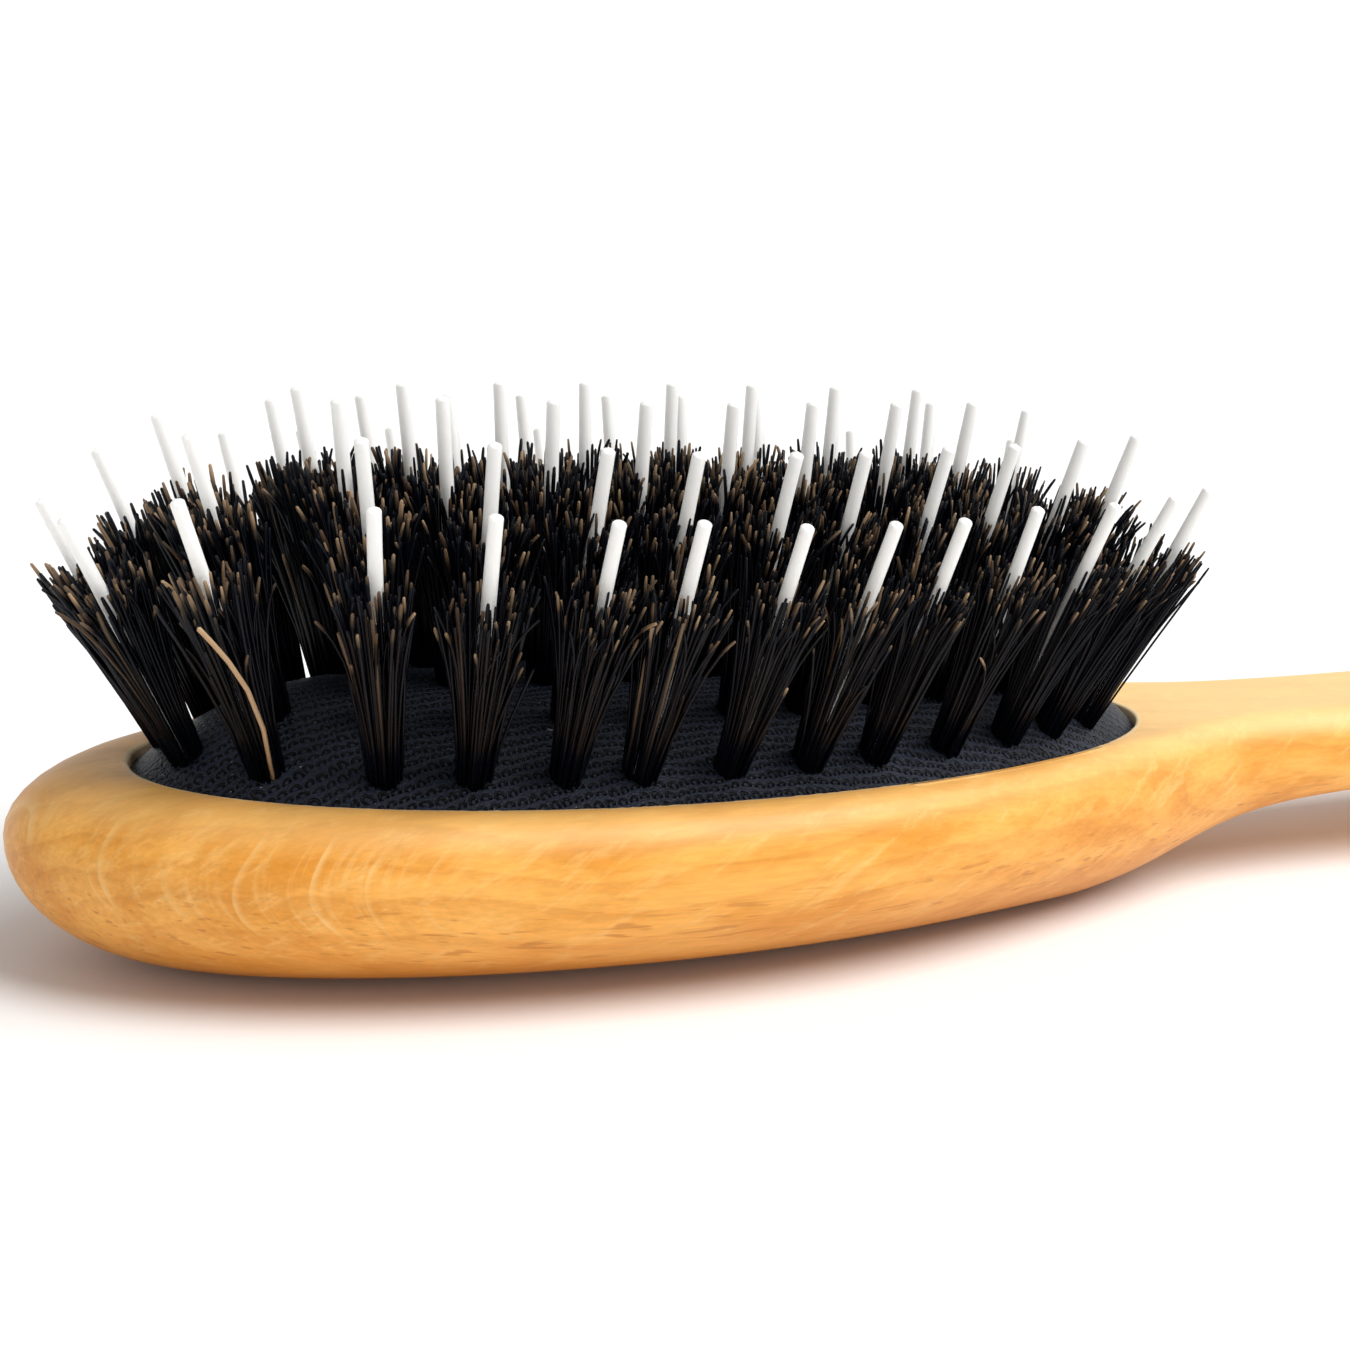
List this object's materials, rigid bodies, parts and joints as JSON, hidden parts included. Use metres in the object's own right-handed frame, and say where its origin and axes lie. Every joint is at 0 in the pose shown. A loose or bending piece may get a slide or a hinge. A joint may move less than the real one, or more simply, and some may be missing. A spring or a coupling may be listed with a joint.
{
  "type": "hairbrush",
  "caption": "Oval wooden hairbrush with a domed black rubber air cushion, tufts of dark bristle with a white round-tipped pin in each, and a slim straight handle.",
  "frame": {"origin": "middle of the overall length and width, at the resting face under the head", "axes": "+X from the nose of the head to the end of the handle, +Y across the brush, +Z from the resting face towards the tips of the pins"},
  "size_m": [0.22, 0.0552, 0.0481],
  "materials": {
    "beech": "clear satin varnish over honey-coloured wood",
    "rubber": "matt, embossed all over with small scales",
    "bristle": "glossy black natural bristle with brown tips",
    "nylon": "translucent white, smooth",
    "binding_wire": "plain drawn wire"
  },
  "bodies": {
    "brush_body": {"wooden_body": "beech", "cushion_pad": "rubber"},
    "inner_ring": {"bristle_tufts_inner_front": "bristle", "bristle_tufts_inner_rear": "bristle", "nylon_pins_inner_front": "nylon", "nylon_pins_inner_rear": "nylon", "binding_wires_inner_front": "binding_wire", "binding_wires_inner_rear": "binding_wire"},
    "middle_ring": {"bristle_tufts_middle_front": "bristle", "bristle_tufts_middle_rear": "bristle", "nylon_pins_middle_front": "nylon", "nylon_pins_middle_rear": "nylon", "binding_wires_middle_front": "binding_wire", "binding_wires_middle_rear": "binding_wire"},
    "outer_ring": {"bristle_tufts_outer_front": "bristle", "bristle_tufts_outer_rear": "bristle", "nylon_pins_outer_front": "nylon", "nylon_pins_outer_rear": "nylon", "binding_wires_outer_front": "binding_wire", "binding_wires_outer_rear": "binding_wire"}
  },
  "joints": [
    {"name": "inner_press", "type": "slide", "parent": "brush_body", "child": "inner_ring", "axis": [0, 0, 1], "range_m": [-0.003, 0], "stiffness_N_per_m": 1500, "springref_m": 0.0005, "deforming": ["cushion_pad"]},
    {"name": "middle_press", "type": "slide", "parent": "brush_body", "child": "middle_ring", "axis": [0, 0, 1], "range_m": [-0.00234, 0], "stiffness_N_per_m": 1500, "springref_m": 0.0005},
    {"name": "outer_press", "type": "slide", "parent": "brush_body", "child": "outer_ring", "axis": [0, 0, 1], "range_m": [-0.00109, 0], "stiffness_N_per_m": 1500, "springref_m": 0.0005}
  ],
  "couplings": [
    {"joint": "middle_press", "follows": "inner_press", "ratio": 0.7794},
    {"joint": "outer_press", "follows": "inner_press", "ratio": 0.3621}
  ]
}
